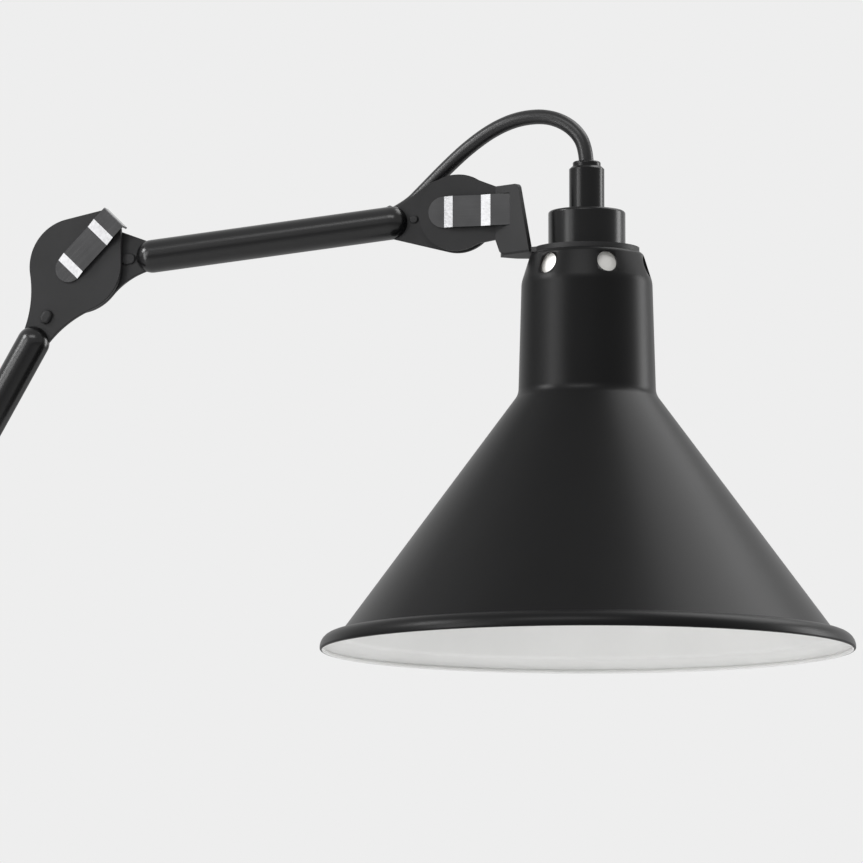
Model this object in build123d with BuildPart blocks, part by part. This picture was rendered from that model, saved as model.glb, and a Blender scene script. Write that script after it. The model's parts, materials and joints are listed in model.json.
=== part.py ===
from build123d import *
import os
from math import acos, atan2, cos, degrees, hypot, pi, radians, sin, sqrt, tan

os.makedirs("parts", exist_ok=True)

# Swing arm wall lamp, millimetres. The origin is the centre of the wall face, +X points away
# from the wall, +Z is up, and both arms move in planes parallel to XZ.

# Fits and clearances
running_clearance = 0.05
axial_play = 0.1
loose_clearance = 0.3

# Arms
arm_length = 160.0
lower_arm_angle = 60.0
upper_arm_angle = 5.8
arm_tube_diameter = 13.4
arm_tube_wall = 1.2
plate_thickness = 2.0
tongue_width = 10.4
tongue_depth = 5.0
plate_edge = 0.25
bump_length = 6.0
bump_width = 4.4
bump_height = 1.5
bump_rounding = 1.1
rear_bump_height = 0.85
rear_bump_rounding = 0.6
head_bump_length = 3.6
head_bump_width = 3.0

# Joint discs and their tails
lower_elbow_disc_radius = 19.4
lower_elbow_tail = 29.1
lower_elbow_flare = 45.0
lower_elbow_bump = 24.0
lower_base_disc_radius = 17.6
lower_base_tail = 26.0
lower_base_flare = 35.0
lower_base_bump = 21.6
upper_elbow_disc_radius = 19.2
upper_elbow_tail = 25.0
upper_elbow_flare = 31.0
upper_elbow_flank = 5.8
upper_elbow_bump = 21.7
upper_head_disc_radius = 15.9
upper_head_tail = 20.9
upper_head_flank = 8.3
upper_head_shoulder = 10.9
upper_head_shoulder_height = 13.7
upper_head_bump = 18.2
ear_disc_radius = 15.4
ear_neck_angle = -56.0
ear_neck_rounding = 9.0

# Tab of the lower arm's elbow plate
tab_angle = 40.2
tab_reach = 24.0
tab_width = 11.6
tab_offset = 3.8
tab_lip = 2.6
tab_rounding = 1.1
tab_bend_radius = 1.2

# Pivot hardware
stud_radius = 3.0
stud_point = 1.2
friction_washer_thickness = 1.0
friction_washer_radius = 11.0
back_washer_thickness = 0.8
back_washer_radius = 8.0
nut_width = 10.0
nut_height = 3.6

# Spring clips
clip_thickness = 0.8
clip_first_ramp = 3.8
clip_second_ramp = 4.2
clip_step = 1.25
clip_hook = 5.0
elbow_clip_angle = 45.7
elbow_clip_width = 11.2
elbow_clip_start = -8.3
elbow_clip_foot = 5.2
elbow_clip_bridge = 14.4
elbow_clip_offset = 0.9
bracket_clip_width = 12.6
bracket_clip_start = -11.2
bracket_clip_foot = 6.6
bracket_clip_bridge = 11.7
bracket_clip_offset = 0.2
bracket_clip_passage = 2.4
bracket_slot_depth = 2.0

# Bent sheet brackets
bracket_rise = 17.2
bend_reach = 16.6
web_angle = 30.0
web_length = 18.6
web_top_length = 12.4
web_height = 27.2
web_foot_height = 5.85
web_foot_cut = 2.6
web_top_rounding = 2.0
web_foot_rounding = 1.5
neck_waist = 0.55
neck_front = 0.62
neck_rear = 0.7
neck_side = 0.42
neck_corner = 4.0
neck_tip = 1.5
neck_tip_depth = 3.5
ring_thickness = 2.0
head_bracket_reach = 53.7
head_ring_radius = 21.0
base_bracket_reach = 40.0
base_ring_radius = 13.0

# Gland, collar and nipple
gland_radius = 7.05
gland_height = 20.1
gland_chamfer = 0.9
gland_lip_radius = 5.6
gland_lip_height = 2.2
gland_lip_rounding = 0.8
cord_diameter = 6.0
cord_seat_depth = 4.4
collar_radius = 15.45
collar_height = 14.9
collar_wall = 1.6
collar_rounding = 1.2
nipple_radius = 5.0
nipple_bore_radius = 3.2
nipple_grip = 7.0
lead_radius = 2.0

# Shade
shade_wall = 1.1
shade_shoulder_radius = 22.4
shade_neck_top_radius = 26.2
shade_shoulder_drop = 12.0
shade_neck_radius = 27.5
shade_neck_drop = 57.0
shade_flange_radius = 98.5
shade_flange_drop = 152.8
shade_rim_radius = 106.7
shade_rim_drop = 158.6
shade_bead_radius = 0.8
shade_edge_rounding = 2.2
shade_shoulder_rounding = 11.0
shade_waist_rounding = 7.0
shade_flange_rounding = 1.2
shade_roll_rounding = 5.6
vent_count = 6
vent_radius = 4.15
vent_drop = 6.2
vent_first_angle = 32.5

# Lampholder
holder_cap_gap = 0.7
holder_cap_height = 13.0
holder_cap_rounding = 2.5
holder_flange_height = 3.0
holder_wall = 2.2
holder_radius = 20.0
holder_length = 38.0
holder_insulator_height = 8.0
screw_shell_radius = 13.3
screw_shell_wall = 0.5
screw_shell_length = 22.0
lock_nut_width = 14.0
lock_nut_height = 3.0
contact_width = 5.0
contact_thickness = 0.5
contact_foot_reach = 4.5
contact_bend_reach = 1.5
contact_dip_reach = 3.5
contact_dip = 2.6
contact_tip_reach = 4.6
contact_tip_drop = 2.0
contact_well_depth = 3.6
contact_well_length = 10.2
contact_well_width = 6.0
holder_lip_rounding = 1.0

# Cord entries in the tubes
entry_setback = 15.5
entry_angle = 40.0
head_entry_lean = 37.0
base_entry_lean = 40.0
grommet_radius = 4.1
grommet_start = 5.2
grommet_end = 11.0
cord_end = 8.5
free_run = 18.0

# Wall end
canopy_radius = 54.0
canopy_depth = 24.0
canopy_wall = 1.5
canopy_edge_radius = 7.0
swivel_axis_x = 42.0
barrel_radius = 11.0
barrel_height = 27.0
post_radius = 7.5
post_collar_radius = 15.0
post_collar_length = 4.0
post_thread_length = 9.0
post_bore_radius = 3.6
post_washer_radius = 13.0
post_washer_thickness = 1.5
post_nut_width = 22.0
post_nut_height = 5.0
spindle_radius = 5.5
spindle_bore_radius = 3.2
spindle_flange_radius = 11.0
spindle_flange_height = 3.0
bush_radius = 8.0
bush_length = 8.0
bush_flange_radius = 9.6
bush_flange_height = 1.5
retaining_washer_thickness = 1.0
retaining_nut_width = 15.0
retaining_nut_height = 4.0
base_cap_radius = 10.3
base_cap_height = 4.0
window_height = 9.0

strap_width = 20.0
strap_thickness = 2.0
strap_tab_length = 12.0
strap_gap = 0.6
wall_screw_spacing = 70.0
wall_slot_length = 10.0
wall_slot_radius = 2.3
cable_hole_radius = 7.0
cable_hole_offset = 20.0
canopy_screw_radius = 2.0
canopy_screw_head_radius = 3.6
canopy_screw_head_height = 2.2
canopy_screw_x = 8.0
terminal_length = 26.0
terminal_width = 12.0
terminal_depth = 11.0
terminal_offset = 28.0
terminal_screw_radius = 2.0
terminal_pitch = 8.0

switch_height = 19.0
switch_width = 13.0
switch_housing_depth = 15.0
switch_bezel = 1.6
switch_bezel_height = 1.2
switch_margin = 4.5
rocker_gap = 0.5

# Places that follow from the driving dimensions
plane_step = plate_thickness + friction_washer_thickness
rear_y = 0.0
front_y = rear_y - plane_step
tube_radius = arm_tube_diameter / 2
flank_height = tube_radius - arm_tube_wall / 2
cord_radius = cord_diameter / 2
ring_half = ring_thickness / 2
barrel_top = barrel_height / 2
base_ring_z = barrel_top + bush_flange_height + axial_play + spindle_flange_height + ring_half
switch_drop = canopy_radius - canopy_edge_radius - switch_margin - switch_height / 2


def along(angle):
    """Unit vector at an angle above +X in the plane of the arms."""
    return Vector(cos(radians(angle)), 0, sin(radians(angle)))


base_pivot = Vector(swivel_axis_x + base_bracket_reach, 0, base_ring_z + bracket_rise)
elbow_pivot = base_pivot + along(lower_arm_angle) * arm_length
head_pivot = elbow_pivot + along(upper_arm_angle) * arm_length
head_ring = head_pivot + Vector(head_bracket_reach, front_y, -bracket_rise)
base_ring = Vector(swivel_axis_x, rear_y, base_ring_z)
head_frame = Plane(origin=head_ring, x_dir=(1, 0, 0), z_dir=(0, 0, 1))
base_frame = Plane(origin=base_ring, x_dir=(-1, 0, 0), z_dir=(0, 0, 1))


def side_plane(at, angle, y):
    """Upright plane at depth y seen from the front, its x along the given angle."""
    return Plane(origin=(at.X, y, at.Z), x_dir=along(angle), z_dir=(0, -1, 0))


def finish(piece, name):
    """Label a finished piece and write it to its own file."""
    piece.part.label = name
    export_step(piece.part, f"parts/{name}.step")


def cord_path(points, print_name):
    """Straight runs joined by arcs, each as large as its two runs allow."""
    radii = []
    for before, corner, after in zip(points, points[1:], points[2:]):
        first, second = corner - before, after - corner
        half_turn = radians(first.get_angle(second) / 2)
        radii.append(0.45 * min(first.length, second.length) / tan(half_turn))
    print(print_name, "bend radii", [round(radius, 1) for radius in radii])
    with BuildLine() as route:
        FilletPolyline(*points, radius=radii)
    return route.line


def cord_tube(points, radius, name):
    """Round cord along a route, with its volume compared with section times length."""
    route = cord_path(points, name)
    with BuildPart() as cord:
        with BuildSketch(Plane(origin=points[0], z_dir=points[1] - points[0])):
            Circle(radius)
        sweep(path=route)
    length = sum(piece.length for piece in route.edges())
    print(name, "length", round(length, 1), "mm, volume ratio",
          round(cord.part.volume / (pi * radius**2 * length), 4))
    return cord


# Arm plates

def plate_outline(disc_radius, reach, flare):
    """Disc with a tail along +x that narrows in two hollow curves, cut off square at its reach."""
    Circle(disc_radius)
    with Locations(((reach + flare) / 2, 0)):
        Rectangle(reach + flare, tongue_width)
    fillet(vertices().sort_by(Axis.X)[:2], flare)
    with Locations((reach + flare, 0)):
        Rectangle(2 * flare, 4 * disc_radius, mode=Mode.SUBTRACT)


def touch_point(disc_radius, corner):
    """Point where the straight side from a corner touches a disc at the origin."""
    turn = acos(disc_radius / hypot(*corner))
    angle = atan2(corner[1], corner[0]) + (turn if corner[1] > 0 else -turn)
    return disc_radius * cos(angle), disc_radius * sin(angle)


def ease_front():
    """Break the sharp edge round the front face of the plate being built."""
    front = faces().filter_by(Axis.Y).sort_by(Axis.Y)[0]
    chamfer(front.edges(), plate_edge)


def plate_bump(at, angle, y, length, width, height, rounding):
    """Raised oblong on the front of a tail, just outside the tube's domed end."""
    with BuildPart() as bump:
        with BuildSketch(side_plane(at, angle, y - plate_thickness / 2)):
            SlotOverall(length, width)
        extrude(amount=height)
        fillet(faces().sort_by(Axis.Y)[0].edges(), rounding)
    return bump.part


lower_elbow_oblong = plate_bump(
    elbow_pivot - along(lower_arm_angle) * lower_elbow_bump, lower_arm_angle, front_y,
    bump_length, bump_width, bump_height, bump_rounding)
lower_base_oblong = plate_bump(
    base_pivot + along(lower_arm_angle) * lower_base_bump, lower_arm_angle, front_y,
    bump_length, bump_width, bump_height, bump_rounding)
upper_elbow_oblong = plate_bump(
    elbow_pivot + along(upper_arm_angle) * upper_elbow_bump, upper_arm_angle, rear_y,
    bump_length, bump_width, rear_bump_height, rear_bump_rounding)
upper_head_oblong = plate_bump(
    head_pivot - along(upper_arm_angle) * upper_head_bump, upper_arm_angle, rear_y,
    head_bump_length, head_bump_width, rear_bump_height, rear_bump_rounding)
tab_edge = (Vector(elbow_pivot.X, front_y - plate_thickness / 2, elbow_pivot.Z)
            + along(tab_angle) * tab_reach)


with BuildPart() as lower_elbow_plate:
    with BuildSketch(side_plane(elbow_pivot, lower_arm_angle + 180, front_y + plate_thickness / 2)):
        plate_outline(lower_elbow_disc_radius, lower_elbow_tail + tongue_depth, lower_elbow_flare)
    extrude(amount=plate_thickness)
    with BuildSketch(side_plane(elbow_pivot, tab_angle, front_y + plate_thickness / 2)):
        with BuildLine():
            CenterArc((0, 0), lower_elbow_disc_radius, 0, 360)
            for side in (1, -1):
                corner_height = tab_offset + side * (tab_width / 2 - tab_rounding)
                CenterArc((tab_reach - tab_rounding, corner_height), tab_rounding, 0, 360)
        make_hull()
    extrude(amount=plate_thickness)
    ease_front()
    with BuildSketch(side_plane(elbow_pivot, tab_angle, front_y - plate_thickness / 2)):
        with Locations((tab_reach - plate_thickness / 2, tab_offset)):
            Rectangle(plate_thickness, tab_width - 2 * tab_rounding)
    extrude(amount=-tab_lip)
    with BuildSketch(Plane(origin=tab_edge, x_dir=along(tab_angle), z_dir=along(tab_angle + 90))):
        Rectangle(tab_bend_radius, tab_bend_radius, align=(Align.MAX, Align.MIN))
        with Locations((-tab_bend_radius, tab_bend_radius)):
            Circle(tab_bend_radius, mode=Mode.SUBTRACT)
    extrude(amount=tab_width, both=True, mode=Mode.SUBTRACT)
    add(lower_elbow_oblong)
    with BuildSketch(side_plane(elbow_pivot, 0, front_y)):
        Circle(stud_radius)
    extrude(amount=plate_thickness, both=True, mode=Mode.SUBTRACT)
finish(lower_elbow_plate, "lower_elbow_plate")

with BuildPart() as lower_base_plate:
    with BuildSketch(side_plane(base_pivot, lower_arm_angle, front_y + plate_thickness / 2)):
        plate_outline(lower_base_disc_radius, lower_base_tail + tongue_depth, lower_base_flare)
    extrude(amount=plate_thickness)
    ease_front()
    add(lower_base_oblong)
    with BuildSketch(side_plane(base_pivot, 0, front_y)):
        Circle(stud_radius + running_clearance)
    extrude(amount=plate_thickness, both=True, mode=Mode.SUBTRACT)
finish(lower_base_plate, "lower_base_plate")

with BuildPart() as upper_elbow_plate:
    with BuildSketch(side_plane(elbow_pivot, upper_arm_angle, rear_y + plate_thickness / 2)):
        plate_outline(upper_elbow_disc_radius, upper_elbow_tail + tongue_depth, upper_elbow_flare)
        elbow_flank = (upper_elbow_tail + upper_elbow_flank, flank_height)
        with BuildLine():
            Polyline((0, 0), elbow_flank, touch_point(upper_elbow_disc_radius, elbow_flank), close=True)
        make_face()
    extrude(amount=plate_thickness)
    ease_front()
    add(upper_elbow_oblong)
    with BuildSketch(side_plane(elbow_pivot, 0, rear_y)):
        Circle(stud_radius + running_clearance)
    extrude(amount=plate_thickness, both=True, mode=Mode.SUBTRACT)
finish(upper_elbow_plate, "upper_elbow_plate")

with BuildPart() as upper_head_plate:
    with BuildSketch(side_plane(head_pivot, upper_arm_angle + 180, rear_y + plate_thickness / 2)):
        tongue_length = upper_head_tail + tongue_depth
        lower_flank = (upper_head_tail + upper_head_flank, flank_height)
        upper_flank = (upper_head_tail + tube_radius / 2, -tube_radius * 0.9)
        shoulder = (upper_head_shoulder, -upper_head_shoulder_height)
        Circle(upper_head_disc_radius)
        with BuildLine():
            Polyline((0, 0), touch_point(upper_head_disc_radius, lower_flank), lower_flank,
                     (tongue_length, -tongue_width / 2), upper_flank, shoulder,
                     touch_point(upper_head_disc_radius, shoulder), close=True)
        make_face()
    extrude(amount=plate_thickness)
    ease_front()
    add(upper_head_oblong)
    with BuildSketch(side_plane(head_pivot, 0, rear_y)):
        Circle(stud_radius + running_clearance)
    extrude(amount=plate_thickness, both=True, mode=Mode.SUBTRACT)
finish(upper_head_plate, "upper_head_plate")


# Arm tubes with domed ends

def entry_line(pivot, angle, y, distance, side, lean=0.0):
    """Point on the tube's axis and outward direction of a slanting cord entry, leaning upward."""
    target = Vector(pivot.X, y, pivot.Z) + along(angle) * distance
    upward = along(angle + 90) if along(angle + 90).Z > 0 else along(angle - 90)
    sideways = Vector(0, side * cos(radians(lean)), 0) + upward * sin(radians(lean))
    outward = along(angle) * -cos(radians(entry_angle)) + sideways * sin(radians(entry_angle))
    return target, outward


lower_top_entry = entry_line(elbow_pivot, lower_arm_angle + 180, front_y, lower_elbow_tail + entry_setback, 1)
lower_base_entry = entry_line(base_pivot, lower_arm_angle, front_y, lower_base_tail + entry_setback, -1,
                              base_entry_lean)
upper_elbow_entry = entry_line(elbow_pivot, upper_arm_angle, rear_y, upper_elbow_tail + entry_setback, 1)
upper_head_entry = entry_line(head_pivot, upper_arm_angle + 180, rear_y, upper_head_tail + entry_setback, 1,
                              head_entry_lean)


def arm_tube(pivot, angle, y, start, end, plates, entries):
    """Round tube with domed ends, slotted for its two plates and holed for its cord entries."""
    plane = side_plane(pivot, angle, y)
    axis = Axis(plane.origin, plane.x_dir)
    with BuildPart() as tube:
        for wall, mode in ((0, Mode.ADD), (arm_tube_wall, Mode.SUBTRACT)):
            radius = tube_radius - wall
            with BuildSketch(plane):
                with BuildLine():
                    Line((start + wall, 0), (end - wall, 0))
                    head_arc = CenterArc((end - tube_radius, 0), radius, 0, 90)
                    Line(head_arc @ 1, (start + tube_radius, radius))
                    CenterArc((start + tube_radius, 0), radius, 90, 90)
                make_face()
            revolve(axis=axis, mode=mode)
        for plate in plates:
            add(plate.part, mode=Mode.SUBTRACT)
        for target, outward in entries:
            with BuildSketch(Plane(origin=target + outward * grommet_start, z_dir=outward)):
                Circle(grommet_radius)
            extrude(amount=grommet_end, mode=Mode.SUBTRACT)
    return tube


lower_arm_tube = arm_tube(base_pivot, lower_arm_angle, front_y, lower_base_tail,
                          arm_length - lower_elbow_tail, (lower_base_plate, lower_elbow_plate),
                          (lower_top_entry, lower_base_entry))
finish(lower_arm_tube, "lower_arm_tube")
upper_arm_tube = arm_tube(elbow_pivot, upper_arm_angle, rear_y, upper_elbow_tail,
                          arm_length - upper_head_tail, (upper_elbow_plate, upper_head_plate),
                          (upper_elbow_entry, upper_head_entry))
finish(upper_arm_tube, "upper_arm_tube")


def grommet(entry):
    """Rubber bush in a slanting entry, with a seat for the cord's end and a way on for the lead."""
    target, outward = entry
    with BuildPart() as bush:
        with BuildSketch(Plane(origin=target + outward * grommet_start, z_dir=outward)):
            Circle(grommet_radius)
            Circle(lead_radius + loose_clearance, mode=Mode.SUBTRACT)
        extrude(amount=grommet_end - grommet_start)
        with BuildSketch(Plane(origin=target + outward * cord_end, z_dir=outward)):
            Circle(cord_radius)
        extrude(amount=grommet_end, mode=Mode.SUBTRACT)
    return bush


lower_pair = [grommet(entry).part for entry in (lower_top_entry, lower_base_entry)]
with BuildPart() as lower_arm_grommets:
    add(lower_pair)
finish(lower_arm_grommets, "lower_arm_grommets")

upper_pair = [grommet(entry).part for entry in (upper_elbow_entry, upper_head_entry)]
with BuildPart() as upper_arm_grommets:
    add(upper_pair)
finish(upper_arm_grommets, "upper_arm_grommets")


def arm_lead(first, last):
    """Lead inside a tube from one entry's seat to the other's, along the tube's axis."""
    (start, start_out), (end, end_out) = first, last
    points = [start + start_out * cord_end, start, end, end + end_out * cord_end]
    return cord_tube(points, lead_radius, "lead in tube")


lower_arm_lead = arm_lead(lower_base_entry, lower_top_entry)
finish(lower_arm_lead, "lower_arm_lead")
upper_arm_lead = arm_lead(upper_elbow_entry, upper_head_entry)
finish(upper_arm_lead, "upper_arm_lead")


# Pivot hardware

def depth_plane(pivot, y, side):
    """Upright plane at depth y whose normal points toward the clip's side."""
    return Plane(origin=(pivot.X, y, pivot.Z), x_dir=(1, 0, 0), z_dir=(0, -side, 0))


def pivot_set(pivot, clip_y, other_y, side, name):
    """Stud, friction washer, back washer and nut; side is 1 where the clip faces the front."""
    outer = clip_y - side * plate_thickness / 2
    inner = clip_y + side * plate_thickness / 2
    back = other_y + side * (plate_thickness / 2 + axial_play / 2)
    stack = plane_step + plate_thickness + axial_play / 2 + back_washer_thickness + nut_height
    with BuildPart() as stud:
        with BuildSketch(depth_plane(pivot, outer, side)):
            Circle(stud_radius)
        extrude(amount=-stack - stud_point)
        chamfer(faces().sort_by(Axis.Y)[-1 if side == 1 else 0].edges(), 0.5)
    finish(stud, f"{name}_pivot_stud")
    with BuildPart() as friction_washer:
        with BuildSketch(depth_plane(pivot, inner, side)):
            Circle(friction_washer_radius)
            Circle(stud_radius + running_clearance, mode=Mode.SUBTRACT)
        extrude(amount=-(friction_washer_thickness - axial_play / 2))
    finish(friction_washer, f"{name}_friction_washer")
    with BuildPart() as back_washer:
        with BuildSketch(depth_plane(pivot, back, side)):
            Circle(back_washer_radius)
            Circle(stud_radius, mode=Mode.SUBTRACT)
        extrude(amount=-back_washer_thickness)
    finish(back_washer, f"{name}_back_washer")
    with BuildPart() as nut:
        with BuildSketch(depth_plane(pivot, back + side * back_washer_thickness, side)):
            RegularPolygon(nut_width / 2, 6, major_radius=False)
            Circle(stud_radius, mode=Mode.SUBTRACT)
        extrude(amount=-nut_height)
        with BuildSketch(depth_plane(pivot, back + side * back_washer_thickness, side)):
            Circle(nut_width * 0.56)
        extrude(amount=-nut_height, taper=8, mode=Mode.INTERSECT)
    finish(nut, f"{name}_pivot_nut")


pivot_set(elbow_pivot, front_y, rear_y, 1, "elbow")
pivot_set(head_pivot, front_y, rear_y, 1, "head")
pivot_set(base_pivot, rear_y, front_y, -1, "base")


# Spring clips

clip_low = clip_thickness / 2
clip_high = clip_low + 2 * clip_step


def clip_points(start, foot, bridge):
    """Mid line of a clip's two steps: distance along the plate and height above its face."""
    first = start + foot
    second = first + clip_first_ramp
    third = second + bridge
    fourth = third + clip_second_ramp
    return [(start, clip_low), (first, clip_low), (second, clip_low + clip_step),
            (third, clip_low + clip_step), (fourth, clip_high)]


def spring_clip(plane, points, clip_width):
    """Bent steel strip; the plane lies on the plate's face, x along the strip, z outward."""
    profile_plane = Plane(origin=plane.origin, x_dir=plane.x_dir, z_dir=plane.y_dir * -1)
    start, length = points[0][0], 2 * points[-1][0]
    with BuildPart() as clip:
        for (x1, h1), (x2, h2) in zip(points, points[1:]):
            run = hypot(x2 - x1, h2 - h1)
            slope = degrees(atan2(h2 - h1, x2 - x1))
            with BuildSketch(profile_plane):
                with Locations(Location(((x1 + x2) / 2, (h1 + h2) / 2, 0), (0, 0, slope))):
                    SlotCenterToCenter(run, clip_thickness)
            extrude(amount=clip_width / 2, both=True)
        with BuildSketch(plane.offset(-clip_hook)):
            with Locations((start + clip_width / 2, 0)):
                Circle(clip_width / 2)
            with Locations((start + clip_width / 2 + length / 2, 0)):
                Rectangle(length, clip_width)
        extrude(amount=3 * clip_hook, mode=Mode.INTERSECT)
    return clip


elbow_clip_origin = Vector(elbow_pivot.X, front_y - plate_thickness / 2, elbow_pivot.Z)
elbow_clip_plane = Plane(origin=elbow_clip_origin + along(elbow_clip_angle + 90) * elbow_clip_offset,
                         x_dir=along(elbow_clip_angle), z_dir=(0, -1, 0))
tab_turn = radians(elbow_clip_angle - tab_angle)
tab_corner = tab_reach * cos(tab_turn) + (tab_offset + tab_width / 2) * sin(tab_turn)
hook_reach = tab_corner + clip_low
elbow_clip_points = clip_points(elbow_clip_start, elbow_clip_foot, elbow_clip_bridge)
elbow_clip_points += [(hook_reach, clip_high), (hook_reach, clip_high - clip_hook)]
elbow_clip = spring_clip(elbow_clip_plane, elbow_clip_points, elbow_clip_width)
finish(elbow_clip, "elbow_clip")


# Bent sheet bracket: ring, neck, slanting web and ear, with the ring's centre at the origin

def sheet_bracket(reach, ring_radius, bore_radius, disc_radius):
    """Ring at the origin, ear toward -x, its mid plane y = 0 and its front face toward -y."""
    bend_x = bend_reach - reach
    bend = Vector(bend_x, 0, 0)
    web_dir = Vector(cos(radians(web_angle)), -sin(radians(web_angle)), 0)
    web_out = Vector(-sin(radians(web_angle)), -cos(radians(web_angle)), 0)
    web_plane = Plane(origin=bend, x_dir=web_dir, z_dir=web_out)
    toe = bend + web_dir * web_foot_cut
    heel = bend + web_dir * web_length
    half = plate_thickness / 2
    with BuildPart() as bracket:
        with BuildSketch(Plane.XY.offset(-ring_half)):
            Circle(ring_radius)
            waist_x = heel.X * neck_waist
            with BuildLine():
                Polyline((toe.X, toe.Y), (heel.X, heel.Y), (waist_x, -ring_radius * neck_front), (0, 0),
                         (waist_x, ring_radius * neck_rear), (toe.X + neck_corner, ring_radius * neck_side),
                         (toe.X - neck_tip, neck_tip_depth), close=True)
            make_face()
            Circle(bore_radius, mode=Mode.SUBTRACT)
        extrude(amount=ring_thickness)
        with BuildSketch(web_plane):
            with BuildLine():
                Polyline((0, web_height), (0, web_foot_height), (web_foot_cut, 0), (web_length, 0),
                         (web_top_length, web_height), close=True)
            make_face()
            fillet(vertices().group_by(Axis.Y)[-1].sort_by(Axis.X)[-1], web_top_rounding)
            fillet(vertices().group_by(Axis.Y)[0].sort_by(Axis.X)[0], web_foot_rounding)
        extrude(amount=half, both=True)
        ear_plane = Plane(origin=(-reach, 0, bracket_rise), x_dir=(1, 0, 0), z_dir=(0, -1, 0))
        with BuildSketch(ear_plane):
            top = (bend_reach, web_height - bracket_rise)
            bottom = (bend_reach, web_foot_height - bracket_rise)
            neck = (disc_radius * cos(radians(ear_neck_angle)), disc_radius * sin(radians(ear_neck_angle)))
            Circle(disc_radius)
            with BuildLine():
                Polyline((0, 0), touch_point(disc_radius, top), top, bottom, neck, close=True)
            make_face()
            fillet(vertices().sort_by_distance(neck)[0], ear_neck_rounding)
            Circle(stud_radius, mode=Mode.SUBTRACT)
        extrude(amount=half, both=True)
        with BuildSketch(Plane.XY.offset(web_foot_height)):
            with Locations((bend.X, bend.Y)):
                Circle(half)
        extrude(amount=web_height - web_foot_height)
        fold_start = toe + web_dir * 1.5
        with BuildSketch(Plane(origin=fold_start, z_dir=web_dir)):
            Circle(half)
        extrude(amount=(heel - fold_start).length)
        slot_distance = (clip_high + half) / sin(radians(web_angle))
        slot_height = bracket_rise + bracket_clip_offset
        clip_line = -half - clip_high
        with BuildSketch(Plane(origin=(bend_x + 2 * half, clip_line, slot_height), z_dir=(1, 0, 0),
                               x_dir=(0, 1, 0))):
            Rectangle(bracket_slot_depth, bracket_clip_width + 2 * loose_clearance)
        extrude(amount=slot_distance + 2 * bracket_clip_passage, mode=Mode.SUBTRACT)
    return bracket


def bracket_clip(reach):
    """Clip on the front of a bracket's ear, its end through the slot in the web."""
    plane = Plane(origin=(-reach, -plate_thickness / 2, bracket_rise + bracket_clip_offset),
                  x_dir=(1, 0, 0), z_dir=(0, -1, 0))
    points = clip_points(bracket_clip_start, bracket_clip_foot, bracket_clip_bridge)
    points.append((bend_reach + clip_high / tan(radians(web_angle)) + bracket_clip_passage, clip_high))
    return spring_clip(plane, points, bracket_clip_width)


def place(piece, frame):
    """Carry a piece from its own frame to its place on the lamp."""
    with BuildPart() as placed:
        add(piece.part.moved(Location(frame)))
    return placed


head_bracket = place(sheet_bracket(head_bracket_reach, head_ring_radius, nipple_radius + loose_clearance / 2,
                                   ear_disc_radius), head_frame)
finish(head_bracket, "head_bracket")
head_clip = place(bracket_clip(head_bracket_reach), head_frame)
finish(head_clip, "head_clip")
base_bracket = place(sheet_bracket(base_bracket_reach, base_ring_radius, nipple_radius + loose_clearance / 2,
                                   ear_disc_radius), base_frame)
finish(base_bracket, "base_bracket")
base_clip = place(bracket_clip(base_bracket_reach), base_frame)
finish(base_clip, "base_clip")


# Gland, collar and nipple on the head

def gland_sleeve(foot):
    """Sleeve with a seat for the cord, screwed on the nipple's top; foot is its lowest centre."""
    with BuildPart() as gland:
        with BuildSketch(Plane(origin=foot, z_dir=(0, 0, 1))):
            Circle(gland_radius)
        extrude(amount=gland_height - gland_lip_height)
        chamfer(faces().sort_by(Axis.Z)[-1].edges(), gland_chamfer)
        top = foot + Vector(0, 0, gland_height)
        with BuildSketch(Plane(origin=top, z_dir=(0, 0, -1))):
            Circle(gland_lip_radius)
        extrude(amount=gland_lip_height)
        fillet(faces().sort_by(Axis.Z)[-1].edges(), gland_lip_rounding)
        with BuildSketch(Plane(origin=top, z_dir=(0, 0, 1))):
            Circle(cord_radius)
        extrude(amount=-cord_seat_depth, mode=Mode.SUBTRACT)
        with BuildSketch(Plane(origin=foot, z_dir=(0, 0, 1))):
            Circle(lead_radius + loose_clearance)
        extrude(amount=gland_height, mode=Mode.SUBTRACT)
        with BuildSketch(Plane(origin=foot, z_dir=(0, 0, 1))):
            Circle(nipple_radius)
        extrude(amount=nipple_grip, mode=Mode.SUBTRACT)
    return gland


collar_foot = head_ring + Vector(0, 0, ring_half)
gland_foot = collar_foot + Vector(0, 0, collar_height)
gland_top = gland_foot + Vector(0, 0, gland_height)

with BuildPart() as collar:
    with BuildSketch(Plane(origin=collar_foot, z_dir=(0, 0, 1))):
        Circle(collar_radius)
    extrude(amount=collar_height)
    fillet(faces().sort_by(Axis.Z)[-1].edges(), collar_rounding)
    with BuildSketch(Plane(origin=collar_foot, z_dir=(0, 0, 1))):
        Circle(collar_radius - collar_wall)
    extrude(amount=collar_height - 2 * collar_wall, mode=Mode.SUBTRACT)
    with BuildSketch(Plane(origin=collar_foot, z_dir=(0, 0, 1))):
        Circle(nipple_radius + loose_clearance / 2)
    extrude(amount=collar_height, mode=Mode.SUBTRACT)
finish(collar, "collar")

head_gland = gland_sleeve(gland_foot)
finish(head_gland, "head_gland")

shade_top = head_ring - Vector(0, 0, ring_half)
holder_top = shade_top - Vector(0, 0, shade_wall)
nipple_foot = holder_top - Vector(0, 0, holder_wall + lock_nut_height + 1)
nipple_length = gland_foot.Z + nipple_grip - nipple_foot.Z

with BuildPart() as nipple:
    with BuildSketch(Plane(origin=nipple_foot, z_dir=(0, 0, 1))):
        Circle(nipple_radius)
        Circle(nipple_bore_radius, mode=Mode.SUBTRACT)
    extrude(amount=nipple_length)
finish(nipple, "nipple")


# Shade: flat top, rounded shoulder, bottle neck, cone, and a flange rolled over at the rim

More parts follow.
